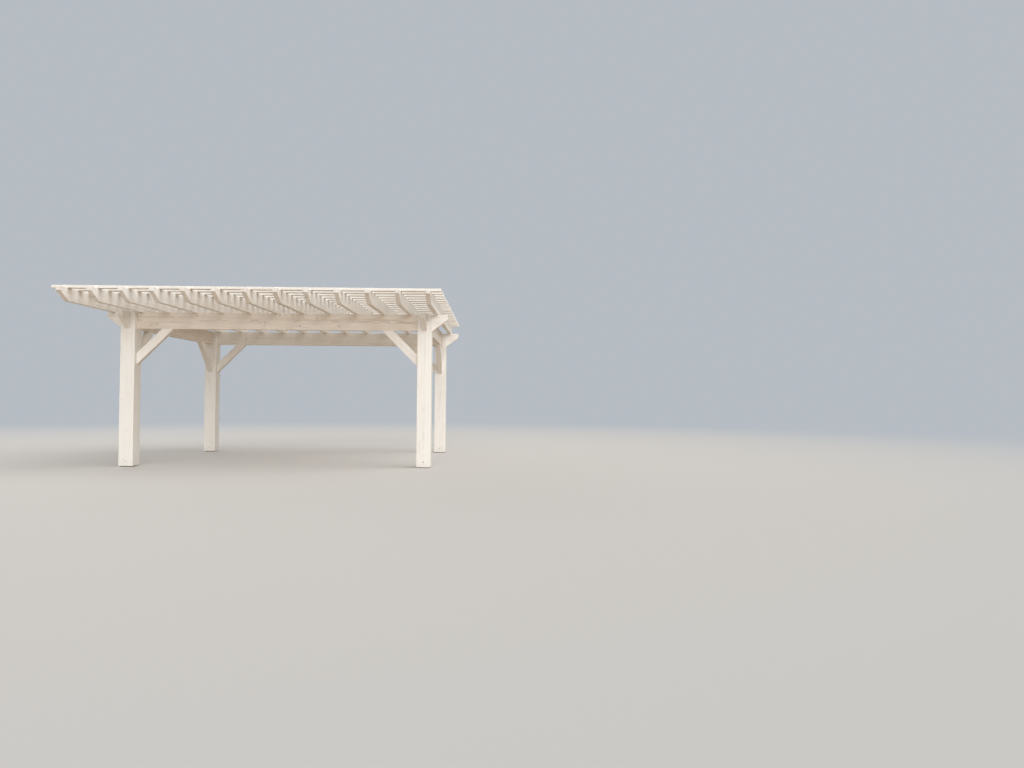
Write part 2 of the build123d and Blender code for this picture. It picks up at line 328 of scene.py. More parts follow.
def whitewashed_softwood(name, cover, ring, knots, saw, bold=1.0, dust=0.0):
    """Softwood under thin white stain. Growth rings are circles round the pith, bent by slow
    noise and bulging round knots; a knot is a cone from the pith, found as a cell near the
    turned direction. Dense late wood, knots, worn edges and end grain take less stain."""
    material, tree, shader = new_finish(name)
    grain = step(tree, "ShaderNodeAttribute", out=1, attribute_name="grain")
    finish = tree.nodes.new("ShaderNodeSeparateXYZ")
    tree.links.new(step(tree, "ShaderNodeAttribute", out=1, attribute_name="finish"),
                   finish.inputs[0])
    tone, cut, worn = finish.outputs

    drift = speckle(tree, grain, (0.8, 4.5, 4.5), detail=2, out=1)
    drift = step(tree, "ShaderNodeVectorMath", (drift, (0.5, 0.5, 0.5)), operation="SUBTRACT")
    drift = step(tree, "ShaderNodeVectorMath", (drift, (0.0, 0.05, 0.05)), operation="MULTIPLY")
    bent = step(tree, "ShaderNodeVectorMath", (grain, drift), operation="ADD")
    flat = step(tree, "ShaderNodeVectorMath", (bent, (0, 1, 1)), operation="MULTIPLY")
    radius = step(tree, "ShaderNodeVectorMath", (flat,), out=1, operation="LENGTH")

    turned = step(tree, "ShaderNodeVectorMath", (flat,), operation="NORMALIZE")
    along = step(tree, "ShaderNodeVectorMath", (grain, (5.5, 0, 0)), operation="MULTIPLY")
    cell = step(tree, "ShaderNodeVectorMath", (turned, along), operation="ADD")
    branch = step(tree, "ShaderNodeTexVoronoi", (cell, None, 1.0))
    knot = fade(tree, branch, knots, knots * 0.72)
    fleck = fade(tree, speckle(tree, grain, (70, 190, 190), detail=2), 0.50, 0.64)
    heart = fade(tree, branch, knots * 0.75, knots * 0.25)
    heart = maths(tree, "MULTIPLY", heart, fleck)
    swirl = fade(tree, branch, knots * 3.2, knots * 0.8)

    wobble = speckle(tree, grain, (2.0, 14, 14), detail=3)
    ringed = maths(tree, "MULTIPLY_ADD", swirl, 0.016, radius)
    ringed = maths(tree, "MULTIPLY_ADD", wobble, 0.012, ringed)
    years = maths(tree, "MULTIPLY", ringed, 55.0)
    season = step(tree, "ShaderNodeTexNoise", (None, years, 1.0, 1.0), noise_dimensions="1D")
    count = maths(tree, "DIVIDE", ringed, ring)
    count = maths(tree, "MULTIPLY_ADD", season, 2.2, count)
    late = step(tree, "ShaderNodeValToRGB", (maths(tree, "FRACT", count),))
    ramp = late.node.color_ramp
    ramp.elements[0].position, ramp.elements[1].position = 0.30, 0.86
    ramp.elements.new(0.94).color = (0.85, 0.85, 0.85, 1)
    ramp.elements.new(1.0).color = (0, 0, 0, 1)
    band = fade(tree, season, 0.34, 0.66)
    late = maths(tree, "MULTIPLY", late, maths(tree, "MULTIPLY_ADD", band, 0.75, 0.25))

    fibre = speckle(tree, grain, (4.0, 300, 300), detail=3, rough=0.6)
    brush = speckle(tree, grain, (1.1, 42, 42), detail=3, rough=0.55)
    patch = speckle(tree, grain, (2.2, 7, 7), detail=3, rough=0.6)
    chatter = step(tree, "ShaderNodeTexNoise",
                   (None, step(tree, "ShaderNodeSeparateXYZ", (grain,)), 130.0, 2.0),
                   noise_dimensions="1D")
    crack = speckle(tree, grain, (0.55, 46, 46), detail=1)
    crack = maths(tree, "ABSOLUTE", maths(tree, "SUBTRACT", crack, 0.5))
    crack = fade(tree, crack, 0.016, 0.004)
    split = fade(tree, speckle(tree, grain, (0.8, 8, 8), detail=1), 0.56, 0.64)
    crack = maths(tree, "MULTIPLY", crack, split)

    stain = maths(tree, "MULTIPLY_ADD", tone, 0.16, cover - 0.08)
    for part, weight, middle in ((late, -0.20, 0.2), (brush, 0.34, 0.5), (patch, 0.40, 0.5),
                                 (fibre, 0.22, 0.5), (chatter, saw * 0.12, 0.5),
                                 (knot, -0.12, 0), (heart, -0.16, 0), (swirl, -0.04, 0),
                                 (worn, -0.04, 0), (cut, -0.12, 0), (crack, -0.20, 0)):
        stain = maths(tree, "MULTIPLY_ADD", part, weight * bold, stain)
        stain = maths(tree, "SUBTRACT", stain, weight * bold * middle)
    stain = step(tree, "ShaderNodeClamp", (stain, 0.04, 0.97))

    bare = blend(tree, late, (*EARLY_WOOD, 1), (*LATE_WOOD, 1))
    bare = blend(tree, knot, bare, (*KNOT_WOOD, 1))
    bare = blend(tree, maths(tree, "MULTIPLY", heart, 0.5), bare, (0.07, 0.045, 0.03, 1))
    # painted shade: fine checks show bare wood, painted near black as the shade inside them
    bare = blend(tree, crack, bare, (0.08, 0.055, 0.035, 1))
    bare = blend(tree, maths(tree, "MULTIPLY", cut, 0.35), bare, (0.30, 0.205, 0.12, 1))
    colour = blend(tree, stain, bare, (*WASH, 1))
    if dust:
        place = step(tree, "ShaderNodeTexCoord", out=3)
        height = step(tree, "ShaderNodeSeparateXYZ", (place,), out=2)
        splash = speckle(tree, place, (26, 26, 20), detail=5, rough=0.7)
        reach = maths(tree, "MULTIPLY_ADD", splash, 0.5, maths(tree, "MULTIPLY", height, -1.0))
        colour = blend(tree, fade(tree, reach, 0.06, 0.36, 0.0, dust), colour, (*SLAB_DUST, 1))
    tree.links.new(colour, shader.inputs["Base Color"])

    rough = maths(tree, "MULTIPLY_ADD", stain, -0.14, 0.78)
    rough = maths(tree, "MULTIPLY_ADD", fibre, 0.12, rough)
    tree.links.new(rough, shader.inputs["Roughness"])
    height = maths(tree, "MULTIPLY", late, 0.35)
    for part, weight in ((fibre, 0.55), (chatter, saw), (knot, 0.5), (heart, -0.9), (crack, -2.5)):
        height = maths(tree, "MULTIPLY_ADD", part, weight, height)
    relief = step(tree, "ShaderNodeBump", (0.55, 0.0007, None, height))
    tree.links.new(relief, shader.inputs["Normal"])
    shader.inputs["Specular IOR Level"].default_value = 0.35
    return material


def bore(piece, middle, radius, length, sides=24):
    """Cuts a round hole along Y: a cylinder worked out as two rings of points, taken away."""
    turn = np.linspace(0, 2 * math.pi, sides, endpoint=False)
    ring = np.stack([radius * np.cos(turn), np.zeros(sides), radius * np.sin(turn)], axis=-1)
    points = np.concatenate([ring - [0, length / 2, 0], ring + [0, length / 2, 0]]) + middle
    wall = [[i, sides + i, sides + (i + 1) % sides, (i + 1) % sides] for i in range(sides)]
    mesh = bpy.data.meshes.new("drill")
    mesh.from_pydata(points, [], wall + [list(range(sides)), list(range(sides, 2 * sides))[::-1]])
    drill = bpy.data.objects.new("drill", mesh)
    bpy.context.scene.collection.objects.link(drill)
    cut = piece.modifiers.new("hole", "BOOLEAN")
    cut.object, cut.operation, cut.solver = drill, "DIFFERENCE", "EXACT"
    scene_now = bpy.context.evaluated_depsgraph_get()
    bored = bpy.data.meshes.new_from_object(piece.evaluated_get(scene_now))
    piece.modifiers.clear()
    piece.data = bored
    bored.set_sharp_from_angle(angle=CREASE)
    bpy.data.objects.remove(drill)


def post_faces(kerfed):
    """Columns of one post face. Roles 1, 2 and 3 are the check's side, bottom and side; 4 and 5
    the housing's rim and floor; 6 and 7 the kerf's rim and bottom; 0 is plain face."""
    check = 0.024 if kerfed else 0.004      # how far the check lies from the face's middle line
    middle = [(0.5, check - 0.0005, 1), (0.5, check, 2), (0.5, check + 0.0005, 3)]
    if kerfed:
        middle = [(0.5, -KERF_HALF, 6), (0.5, -KERF_HALF, 7), (0.5, KERF_HALF, 7),
                  (0.5, KERF_HALF, 6)] + middle
    return [(0, 0.012, 0), (0.5, -0.080, 0), (0.5, -HOUSING_HALF, 4), (0.5, -HOUSING_HALF, 5),
            *middle, (0.5, HOUSING_HALF, 5), (0.5, HOUSING_HALF, 4), (0.5, 0.080, 0),
            (1, -0.012, 0)]


post_wood = whitewashed_softwood("whitewashed post", cover=0.96, ring=POST_RING, knots=0.10,
                                 saw=0.5, bold=0.65, dust=0.25)
post_columns = section_columns([post_faces(False), post_faces(True)] * 2)
UPRIGHT = np.array([[0.0, 0.0, 1.0], [1.0, 0.0, 0.0], [0.0, 1.0, 0.0]])

for number, name in enumerate(("front_left_post", "front_right_post",
                               "back_left_post", "back_right_post")):
    rng = np.random.default_rng(100 + number)
    low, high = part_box(name)
    half = (high.x - low.x) / 2
    housing_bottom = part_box("front_beam")[0].z
    section = (-half, half, half, POST_EASE)
    rows = np.vstack([
        eased_end(low.z, -1, POST_END_EASE, *section, phase=1),
        run(np.arange(low.z + POST_ROW, KERF_TOP - 0.004, POST_ROW), *section, phase=1),
        run(KERF_TOP, *section, phase=1),
        run(np.linspace(KERF_TOP, housing_bottom, round((housing_bottom - KERF_TOP) / POST_ROW)),
            *section, phase=2),
        run(np.linspace(housing_bottom, high.z - POST_END_EASE, 14)[:-1], *section, phase=3),
        eased_end(high.z, 1, POST_END_EASE, *section, phase=3),
    ])
    phase, role = rows[:, 8:9], post_columns[:, 6]
    sunk = uneven(post_columns, rows, rng, POST_SAW)
    sunk = sunk + HOUSING_DEPTH * (phase == 3) * np.isin(role, (1, 2, 3, 5, 6, 7))
    sunk = sunk + KERF_DEPTH * (phase == 1) * (role == 7)
    pushed = np.zeros(sunk.shape)
    for face in range(4):
        first = rng.uniform(*POST_CHECK_START)
        last = rng.uniform(POST_CHECK_END[0], housing_bottom - POST_CHECK_END[1])
        width = rng.uniform(*POST_CHECK_WIDTH)
        deep, parted = opened_check(post_columns, rows, rng, face, first, last, width,
                                    POST_CHECK_DEPTH)
        sunk, pushed = sunk + deep * (phase == 2), pushed + parted
    ease = worn_ease(post_columns, rows, rng)
    grid = carry_section(post_columns, rows, ease, sunk, pushed)
    pith = random_pith(rng, (0.0, 0.02), (0.0, 0.02), 0.006)
    tone = rng.uniform(0.35, 0.75)
    grain, finish = timber_attributes(post_columns, rows, grid, pith, tone)
    origin = np.array([(low.x + high.x) / 2, (low.y + high.y) / 2, 0.0])
    post = timber_piece(name + "_timber", [(grid, grain, finish, UPRIGHT, origin)], post_wood,
                        [name])
    bore(post, origin + [0, 0, PIN_HEIGHT], PIN_HOLE_RADIUS, 2.2 * half)
    # the points that the hole added get their own place in the log and the post's tone
    points = np.zeros(len(post.data.vertices) * 3, np.float32)
    post.data.vertices.foreach_get("co", points)
    local = (points.reshape(-1, 3) - origin) @ UPRIGHT.T
    regrained = local + [pith[0], 0, 0]
    regrained[:, 1:] -= np.array(pith[1]) + local[:, :1] * np.array(pith[2])
    post.data.attributes["grain"].data.foreach_set("vector", regrained.astype(np.float32).ravel())
    kept = np.zeros(len(post.data.vertices) * 3, np.float32)
    post.data.attributes["finish"].data.foreach_get("vector", kept)
    kept = kept.reshape(-1, 3)
    kept[:, 0] = tone
    post.data.attributes["finish"].data.foreach_set("vector", kept.ravel())


# BEAMS
# Four sawn beams join the posts at the top. Each is let whole into its posts, with a tenon
# beyond the housing. They are stained more thinly than the posts, so darker, with bolder grain
# on the broad faces; the darkness is partly the stain and partly painted shade from the roof.

BEAM_EASE = 0.003
BEAM_ROW = 0.018
BEAM_SAW = 0.0009
BEAM_CHECK_WIDTH = (0.0012, 0.0022)
BEAM_CHECK_DEPTH = 0.012
BEAM_CHECK_LENGTH = (0.5, 0.9)      # as a share of the beam's half length
TENON_HALF = 0.019
TENON_SHOULDER = 0.045     # from the beam's top or underside in to the tenon
TENON_LENGTH = 0.060
TENON_EASE = 0.001
BEAM_RING = 0.0058
BEAM_TONES_AND_LIGHT = (0.45, 1.50, 0.50, 0.60)   # how much each is whitened; the back one most, as painted light

# painted shade: the thin cover darkens all beams, partly as stain and partly as the roof's shade
beam_wood = whitewashed_softwood("whitewashed beam", cover=0.68, ring=BEAM_RING, knots=0.12,
                                 saw=0.9, bold=0.8)
broad = [(0, 0.010, 0), (0.2, 0, 0), (0.44, -0.0005, 1), (0.44, 0, 2), (0.44, 0.0005, 3),
         (0.8, 0, 0), (1, -0.010, 0)]
narrow = [(0, 0.010, 0), (0.5, 0, 0), (1, -0.010, 0)]
beam_columns = section_columns([narrow, broad, narrow, broad])
ALONG_X = np.array([[1.0, 0.0, 0.0], [0.0, 1.0, 0.0], [0.0, 0.0, 1.0]])
ALONG_Y = np.array([[0.0, 1.0, 0.0], [-1.0, 0.0, 0.0], [0.0, 0.0, 1.0]])

for number, name in enumerate(("front_beam", "back_beam", "left_beam", "right_beam")):
    rng = np.random.default_rng(200 + number)
    low, high = np.array(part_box(name)[0]), np.array(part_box(name)[1])
    axis, axes = (0, ALONG_X) if number < 2 else (1, ALONG_Y)
    half = (high - low)[1 - axis] / 2
    reach = (high - low)[axis] / 2
    housed = reach - TENON_LENGTH
    height = high[2] - low[2]
    section = (0.0, height, half, BEAM_EASE)
    tenon = (TENON_SHOULDER, height - TENON_SHOULDER, TENON_HALF, TENON_EASE)
    rows = np.vstack([
        run([-reach, -housed], *tenon, cut=1.0),
        run(np.linspace(-housed, housed, round(2 * housed / BEAM_ROW)), *section),
        run([housed, reach], *tenon, cut=1.0),
    ])
    sunk = uneven(beam_columns, rows, rng, BEAM_SAW)
    pushed = np.zeros(sunk.shape)
    for face in (1, 3):
        middle = rng.uniform(-0.5, 0.5) * housed
        length = rng.uniform(*BEAM_CHECK_LENGTH) * housed
        width = rng.uniform(*BEAM_CHECK_WIDTH)
        deep, parted = opened_check(beam_columns, rows, rng, face, middle - length / 2,
                                    middle + length / 2, width, BEAM_CHECK_DEPTH)
        body = (np.abs(rows[:, 0:1]) <= housed) & (rows[:, 4:5] > CRISP_EASE)
        sunk, pushed = sunk + deep * body, pushed + parted * body
    grid = carry_section(beam_columns, rows, worn_ease(beam_columns, rows, rng, 5), sunk, pushed)
    pith = random_pith(rng, (0.075, 0.13), (0.06, 0.17), 0.010)
    # painted light: the back beam's high tone makes it paler to stand in for light it lacks
    grain, finish = timber_attributes(beam_columns, rows, grid, pith, BEAM_TONES_AND_LIGHT[number])
    middle = (low + high) / 2
    origin = np.array([middle[0], middle[1], low[2]])
    timber_piece(name + "_timber", [(grid, grain, finish, axes, origin)], beam_wood,
                 [name])


# BEAM TAILS
# Eight short offcuts of beam carry each beam's line out past its posts. Each has the beam's
# housing and tenon at one end, and its underside is sawn off at a slant to a blunt nose.

TAIL_NOSE = 0.090          # height of the blunt nose
TAIL_HEEL = 0.008          # from the post's face out to the start of the slanted cut
POST_HALF = 0.1205
TAIL_END_EASE = 0.0025
TAIL_ROW = 0.012
TAIL_SAW = 0.0006
SAWN_SHARE = 0.50          # how much of the end grain's look the slanted cut has
FACING_DOWN = -0.7         # a column whose outward direction dips below this faces down

tail_wood = whitewashed_softwood("whitewashed tail", cover=0.92, ring=BEAM_RING, knots=0.12,
                                 saw=0.8, bold=0.8)


def pieces_round_posts(kind):
    """The eight pieces of one kind, two at each post: a running number, the name, the level
    direction out from the pergola along the piece's beam, and the middle of the post."""
    number = 0
    for end, back in (("front", -1.0), ("back", 1.0)):
        for side, right in (("left", -1.0), ("right", 1.0)):
            post_low, post_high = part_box(f"{end}_{side}_post")
            centre = (np.array(post_low) + np.array(post_high)) / 2
            for name, outward in ((f"{end}_beam_{side}_{kind}", (right, 0.0, 0.0)),
                                  (f"{side}_beam_{end}_{kind}", (0.0, back, 0.0))):
                yield number, name, np.array(outward), centre
                number += 1


def sawn_underside(finish, columns, rows):
    """Gives the underside of the slanted cut, stretch 1, part of the end grain's look."""
    underside = (rows[:, 8:9] == 1) & (columns[:, 3] < FACING_DOWN)
    finish[..., 1] = np.maximum(finish[..., 1], SAWN_SHARE * underside)


for number, name, outward, centre in pieces_round_posts("tail"):
    rng = np.random.default_rng(300 + number)
    low, high = np.array(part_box(name)[0]), np.array(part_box(name)[1])
    size = high - low
    axis = 0 if outward[0] else 1
    half, height = size[1 - axis] / 2, size[2]
    shoulder = POST_HALF - HOUSING_DEPTH
    heel = POST_HALF + TAIL_HEEL
    tip = shoulder - TENON_LENGTH + size[axis]
    slant = np.linspace(heel, tip - TAIL_END_EASE, round((tip - heel) / TAIL_ROW))
    rise = (slant - heel) / (tip - heel) * (height - TAIL_NOSE)
    tenon = (TENON_SHOULDER, height - TENON_SHOULDER, TENON_HALF, TENON_EASE)
    rows = np.vstack([
        run([shoulder - TENON_LENGTH, shoulder], *tenon, cut=1.0),
        run(np.linspace(shoulder, heel, 4)[:-1], 0.0, height, half, BEAM_EASE),
        run(slant[:-1], rise[:-1], height, half, BEAM_EASE, phase=1),
        eased_end(tip, 1, TAIL_END_EASE, rise[-1], height, half, BEAM_EASE, phase=1),
    ])
    ease = worn_ease(beam_columns, rows, rng, 1)
    grid = carry_section(beam_columns, rows, ease, uneven(beam_columns, rows, rng, TAIL_SAW))
    pith = random_pith(rng, (0.05, 0.12), (0.04, 0.15), 0.015)
    grain, finish = timber_attributes(beam_columns, rows, grid, pith, rng.uniform(0.3, 0.7))
    sawn_underside(finish, beam_columns, rows)
    axes = np.array([outward, np.cross([0.0, 0.0, 1.0], outward), [0.0, 0.0, 1.0]])
    origin = np.array([centre[0], centre[1], low[2]])
    timber_piece(name + "_timber", [(grid, grain, finish, axes, origin)], tail_wood,
                 [name])


# KNEE BRACES
# Eight braces stiffen the corners. Each is a short thick board at 45 degrees between a post's
# inner face and a beam's underside, cut to both faces and tenoned into them.

BRACE_DEPTH = 0.140
BRACE_TENON = 0.050
BRACE_ROW = 0.015
BRACE_SAW = 0.0006
BRACE_RING = 0.0042

brace_wood = whitewashed_softwood("whitewashed brace", cover=0.88, ring=BRACE_RING, knots=0.11,
                                  saw=0.7, bold=0.7)
brace_columns = section_columns([narrow, broad, narrow, broad])
ROOT_TWO = math.sqrt(2)
for number, name, outward, centre in pieces_round_posts("brace"):
    rng = np.random.default_rng(400 + number)
    low, high = np.array(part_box(name)[0]), np.array(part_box(name)[1])
    axis = 0 if outward[0] else 1
    half = (high - low)[1 - axis] / 2
    reach = (high - low)[axis] - BRACE_TENON
    middle = reach - BRACE_DEPTH / ROOT_TWO
    length = middle * ROOT_TWO
    deep = BRACE_DEPTH / 2
    beyond = BRACE_TENON * ROOT_TWO
    narrowed = BRACE_TENON / ROOT_TWO - deep
    share = np.linspace(0, 1, round(length / BRACE_ROW))
    tenon = (deep, TENON_HALF, TENON_EASE)
    rows = np.vstack([
        run(-beyond, narrowed, *tenon, lean=1.0, cut=1.0),
        run(0.0, -deep, *tenon, lean=1.0, cut=1.0),
        run(share * length, -deep, deep, half, BEAM_EASE, lean=1 - 2 * share),
        run(length, -deep, *tenon, lean=-1.0, cut=1.0),
        run(length + beyond, narrowed, *tenon, lean=-1.0, cut=1.0),
    ])
    ease = worn_ease(brace_columns, rows, rng, 2)
    grid = carry_section(brace_columns, rows, ease, uneven(brace_columns, rows, rng, BRACE_SAW))
    pith = random_pith(rng, (0.05, 0.12), (0.03, 0.12), 0.012)
    grain, finish = timber_attributes(brace_columns, rows, grid, pith, rng.uniform(0.3, 0.8))
    slope = ([0, 0, 1] - outward) / ROOT_TWO
    depth_way = ([0, 0, 1] + outward) / ROOT_TWO
    axes = np.array([slope, np.cross(depth_way, slope), depth_way])
    foot = centre - POST_HALF * outward
    origin = np.array([foot[0], foot[1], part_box("front_beam")[0].z - middle])
    timber_piece(name + "_timber", [(grid, grain, finish, axes, origin)], brace_wood,
                 [name])


# RAFTERS
# Thirteen boards on edge run from front to back over both beams, notched to sit down over them
# and held by a long screw with a washer head at each. Their ends are sawn off at a slant below.

RAFTER_NOSE = 0.063        # height of the end above the slanted cut
RAFTER_TAPER = 0.240       # length of the slanted cut
RAFTER_SEAT = 0.008        # depth of the notch over a beam
SEAT_HALF = 0.045
RAFTER_EASE = 0.0028
RAFTER_END_EASE = 0.002
RAFTER_END_ROW = 0.006     # from an end to the next row
RAFTER_ROW = 0.021
RAFTER_SAW = 0.0008
RAFTER_RING = 0.0046
RAFTER_BOW = 0.0028

rafter_wood = whitewashed_softwood("whitewashed rafter", cover=0.92, ring=RAFTER_RING,
                                   knots=0.12, saw=0.8, bold=0.8)
rafter_broad = [(0, 0.009, 0), (0.5, 0, 0), (1, -0.009, 0)]
rafter_columns = section_columns([[(0.5, 0, 0)], rafter_broad, [(0.5, 0, 0)], rafter_broad])
beam_lines = [(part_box(name)[0].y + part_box(name)[1].y) / 2 for name in ("front_beam", "back_beam")]
rafter_names = sorted(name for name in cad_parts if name.startswith("rafter"))


def rows_between(first, last, spacing, *section, **more):
    """Evenly spaced rows from first to last, as near as can be to the spacing."""
    count = max(2, round(abs(last - first) / spacing) + 1)
    return run(np.linspace(first, last, count), *section, **more)


for number, name in enumerate(rafter_names):
    rng = np.random.default_rng(500 + number)
    low, high = np.array(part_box(name)[0]), np.array(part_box(name)[1])
    half, height = (high[0] - low[0]) / 2, high[2] - low[2]
    lift = height - RAFTER_NOSE
    front, back = low[1], high[1]
    plain = (0.0, height, half, RAFTER_EASE)
    seated = (RAFTER_SEAT, height, half, RAFTER_EASE)
    taper = np.linspace(0, 1, 12)
    front_seat, back_seat = beam_lines
    rows = np.vstack([
        eased_end(front, -1, RAFTER_END_EASE, lift, height, half, RAFTER_EASE, phase=1),
        run(front + RAFTER_END_ROW + taper[:-1] * (RAFTER_TAPER - RAFTER_END_ROW),
            lift * (1 - taper[:-1]), height, half, RAFTER_EASE, phase=1),
        rows_between(front + RAFTER_TAPER, front_seat - SEAT_HALF, RAFTER_ROW, *plain),
        rows_between(front_seat - SEAT_HALF, front_seat + SEAT_HALF, RAFTER_ROW, *seated),
        rows_between(front_seat + SEAT_HALF, back_seat - SEAT_HALF, RAFTER_ROW, *plain),
        rows_between(back_seat - SEAT_HALF, back_seat + SEAT_HALF, RAFTER_ROW, *seated),
        rows_between(back_seat + SEAT_HALF, back - RAFTER_TAPER, RAFTER_ROW, *plain),
        run(back - RAFTER_TAPER + taper[1:] * (RAFTER_TAPER - RAFTER_END_ROW),
            lift * taper[1:], height, half, RAFTER_EASE, phase=1),
        eased_end(back, 1, RAFTER_END_EASE, lift, height, half, RAFTER_EASE, phase=1),
    ])
    ease = worn_ease(rafter_columns, rows, rng, 6)
    grid = carry_section(rafter_columns, rows, ease, uneven(rafter_columns, rows, rng, RAFTER_SAW))
    grid[..., 1] += (RAFTER_BOW * wander(rows[:, 0], rng, (7.0, 3.1, 1.6)))[:, None]
    pith = random_pith(rng, (0.06, 0.13), (0.0, 0.12), 0.009)
    grain, finish = timber_attributes(rafter_columns, rows, grid, pith, rng.uniform(0.15, 0.85))
    sawn_underside(finish, rafter_columns, rows)
    origin = np.array([(low[0] + high[0]) / 2, 0.0, low[2]])
    timber_piece(name + "_timber", [(grid, grain, finish, ALONG_Y, origin)], rafter_wood,
                 [name])


# SLATS
# Twenty slats lie flat across the rafters from end to end, sawn and eased like the rest. Each is
# a little bowed and has its own tone. Their undersides are darkened, partly as thinner stain
# and partly as painted shade.

SLAT_WIDTH = 0.095
SLAT_EASE = 0.0022
SLAT_END_EASE = 0.0018
SLAT_END_ROW = 0.010       # from an end to the next row
SLAT_ROW = 0.026
SLAT_SAW = 0.0007
SLAT_RING = 0.0036
SLAT_BOW = 0.0018
# painted shade: this darkens every slat's underside, partly as thinner stain
UNDERSIDE_STAIN_AND_SHADE = -2.0      # added to the tone of a slat's underside
SLAT_DROP = 0.0007         # the slats' tops lie this far below the frame's top, under the screws

slat_wood = whitewashed_softwood("whitewashed slat", cover=0.95, ring=SLAT_RING, knots=0.11,
                                 saw=0.7, bold=0.8)
slat_broad = [(0, 0.010, 0), (0.5, 0, 0), (1, -0.010, 0)]
slat_columns = section_columns([slat_broad, [(0.5, 0, 0)]] * 2, arc_points=3)
slat_names = sorted(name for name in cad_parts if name.startswith("slats"))
slat_lines = []
for bundle, name in enumerate(slat_names):
    rng = np.random.default_rng(600 + bundle)
    low, high = np.array(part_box(name)[0]), np.array(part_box(name)[1])
    count = int(name[-2:]) - int(name[6:8]) + 1
    lines = np.linspace(low[1] + SLAT_WIDTH / 2, high[1] - SLAT_WIDTH / 2, count)
    timbers = []
    for line in lines:
        inward = -math.copysign(1, line)
        reach = (high[0] - low[0]) / 2
        section = (0.0, high[2] - low[2] - SLAT_DROP, SLAT_WIDTH / 2, SLAT_EASE)
        rows = np.vstack([
            eased_end(-reach, -1, SLAT_END_EASE, *section),
            rows_between(-reach + SLAT_END_ROW, reach - SLAT_END_ROW, SLAT_ROW, *section),
            eased_end(reach, 1, SLAT_END_EASE, *section),
        ])
        ease = worn_ease(slat_columns, rows, rng, 5)
        grid = carry_section(slat_columns, rows, ease, uneven(slat_columns, rows, rng, SLAT_SAW))
        bow = SLAT_BOW * (1 + wander(rows[:, 0], rng, (6.0, 2.4, 1.1)))
        grid[..., 1] += (inward * bow)[:, None]
        pith = random_pith(rng, (0.03, 0.10), (0.0, 0.10), 0.008)
        grain, finish = timber_attributes(slat_columns, rows, grid, pith, rng.uniform(0, 1))
        # painted shade: each slat's underside is darkened here, partly as thinner stain
        finish[..., 0] += UNDERSIDE_STAIN_AND_SHADE * (slat_columns[:, 3] < FACING_DOWN)
        origin = np.array([(low[0] + high[0]) / 2, line, low[2]])
        timbers.append((grid, grain, finish, ALONG_X, origin))
        slat_lines.append((bundle, line + inward * SLAT_BOW))
    timber_piece(name + "_timber", timbers, slat_wood, [name])


# SCREWS
# Coated steel screws, two through each slat into each rafter, with a flat head and a recess for
# the driver, and one washer-headed timber screw through each rafter into each beam.

SCREW_COAT = (0.300, 0.262, 0.205)
SCREW_WEAR = (0.420, 0.400, 0.370)
SCREW_HEAD = 0.0045
SCREW_SPREAD = 0.024       # from a slat's middle line to each of its screws
SCREW_STRAY = 0.006        # how far from its mark a screw may be driven
WASHER_RADIUS = 0.0115
SCREW_SIDES = 12


def coated_screw():
    """Tan coating over steel, rubbed thin in random specks."""
    material, tree, shader = new_finish("coated screw steel")
    place = step(tree, "ShaderNodeTexCoord", out=3)
    rubbed = fade(tree, speckle(tree, place, (400, 400, 400), detail=3), 0.5, 0.66)
    colour = blend(tree, rubbed, (*SCREW_COAT, 1), (*SCREW_WEAR, 1))
    tree.links.new(colour, shader.inputs["Base Color"])
    shader.inputs["Metallic"].default_value = 0.65
    tree.links.new(maths(tree, "MULTIPLY_ADD", rubbed, -0.12, 0.5), shader.inputs["Roughness"])
    return material


def screw_heads(name, places, profile):
    """Heads turned from one profile of (radius, height): each profile point becomes a ring, and
    every head's rings are the same ones moved to its place. The first and last ring close in
    one face each."""
    sides = SCREW_SIDES
    turn = np.linspace(0, 2 * math.pi, sides, endpoint=False)
    radius, height = np.array(profile).T
    rings = np.stack([radius[:, None] * np.cos(turn), radius[:, None] * np.sin(turn),
                      np.repeat(height[:, None], sides, axis=1)], axis=-1)
    points = (np.array(places)[:, None, None, :] + rings).reshape(-1, 3)
    row, column = np.mgrid[0:len(profile) - 1, 0:sides]
    here, beside = row * sides + column, row * sides + (column + 1) % sides
    quads = np.stack([here, beside, beside + sides, here + sides], axis=-1).reshape(-1, 4)
    firsts = np.arange(len(places)) * len(profile) * sides
    faces = (firsts[:, None, None] + quads).reshape(-1, 4).tolist()
    caps = (firsts[:, None] + (len(profile) - 1) * sides + np.arange(sides)).tolist()
    bases = (firsts[:, None] + np.arange(sides)[::-1]).tolist()
    mesh = bpy.data.meshes.new(name)
    mesh.from_pydata(points, [], faces + caps + bases)
    mesh.materials.append(screw_steel)
    heads = bpy.data.objects.new(name, mesh)
    bpy.context.scene.collection.objects.link(heads)
    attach(heads, "root")


screw_steel = coated_screw()
rng = np.random.default_rng(700)
rafter_lines = [(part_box(name)[0].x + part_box(name)[1].x) / 2 for name in rafter_names]
slat_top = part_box(slat_names[0])[1].z - SLAT_DROP
flat_head = [(SCREW_HEAD, -0.0012), (SCREW_HEAD, 0.0001), (SCREW_HEAD * 0.93, 0.0004),
             (SCREW_HEAD * 0.5, 0.0004), (SCREW_HEAD * 0.4, -0.0010)]
for bundle, name in enumerate(slat_names):
    lines = np.array([line for owner, line in slat_lines if owner == bundle])
    across, along = np.meshgrid(rafter_lines, [*(lines - SCREW_SPREAD), *(lines + SCREW_SPREAD)])
    places = np.column_stack([across.ravel(), along.ravel(), np.full(across.size, slat_top)])
    places[:, :2] += rng.uniform(-SCREW_STRAY, SCREW_STRAY, (len(places), 2))
    screw_heads(name.replace("slats", "screws"), places, flat_head)
rafter_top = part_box(rafter_names[0])[1].z
